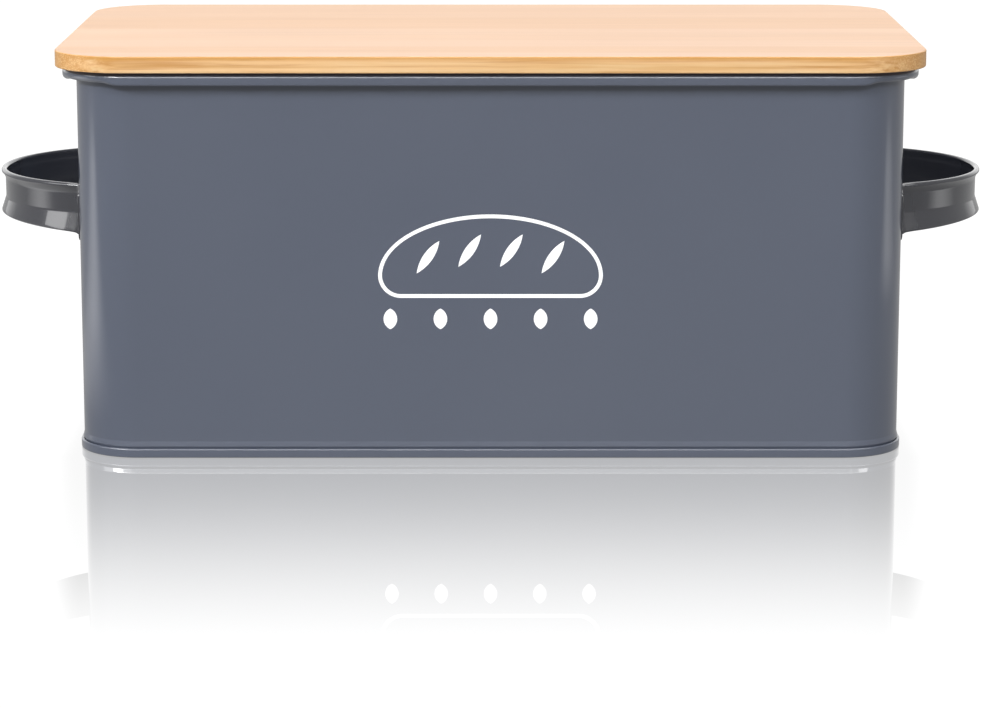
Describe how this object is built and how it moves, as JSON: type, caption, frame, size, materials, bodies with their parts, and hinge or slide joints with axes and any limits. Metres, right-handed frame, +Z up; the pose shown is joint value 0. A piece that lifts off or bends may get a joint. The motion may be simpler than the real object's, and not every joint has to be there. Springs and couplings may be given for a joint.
{
  "type": "bread bin",
  "caption": "Rounded rectangular steel storage bin with a rolled rim, strap handles at both ends and a lift-off wooden board lid.",
  "frame": {"origin": "on the floor under the middle of the bin", "axes": "+Z up, +X from the left handle to the right handle along the length, -Y towards the printed front"},
  "size_m": [0.4104, 0.2, 0.162],
  "materials": {
    "steel_paint": "gloss enamel",
    "handle_paint": "gloss enamel",
    "bamboo": "satin, laminated strips",
    "silicone": "matte translucent",
    "white_ink": "satin printed ink"
  },
  "bodies": {
    "bin": {"body_wall": "steel_paint", "base_panel": "steel_paint", "handle_left": "handle_paint", "handle_right": "handle_paint", "front_print": "white_ink", "rivet_right_front_lower": "handle_paint", "rivet_right_front_upper": "handle_paint", "rivet_right_rear_lower": "handle_paint", "rivet_right_rear_upper": "handle_paint", "rivet_left_front_lower": "handle_paint", "rivet_left_front_upper": "handle_paint", "rivet_left_rear_lower": "handle_paint", "rivet_left_rear_upper": "handle_paint"},
    "lid": {"lid_board": "bamboo", "lid_seal": "silicone"}
  },
  "joints": [
    {"name": "lid_lift", "type": "slide", "parent": "bin", "child": "lid", "axis": [0, 0, 1], "range_m": [0, 0.2]}
  ]
}
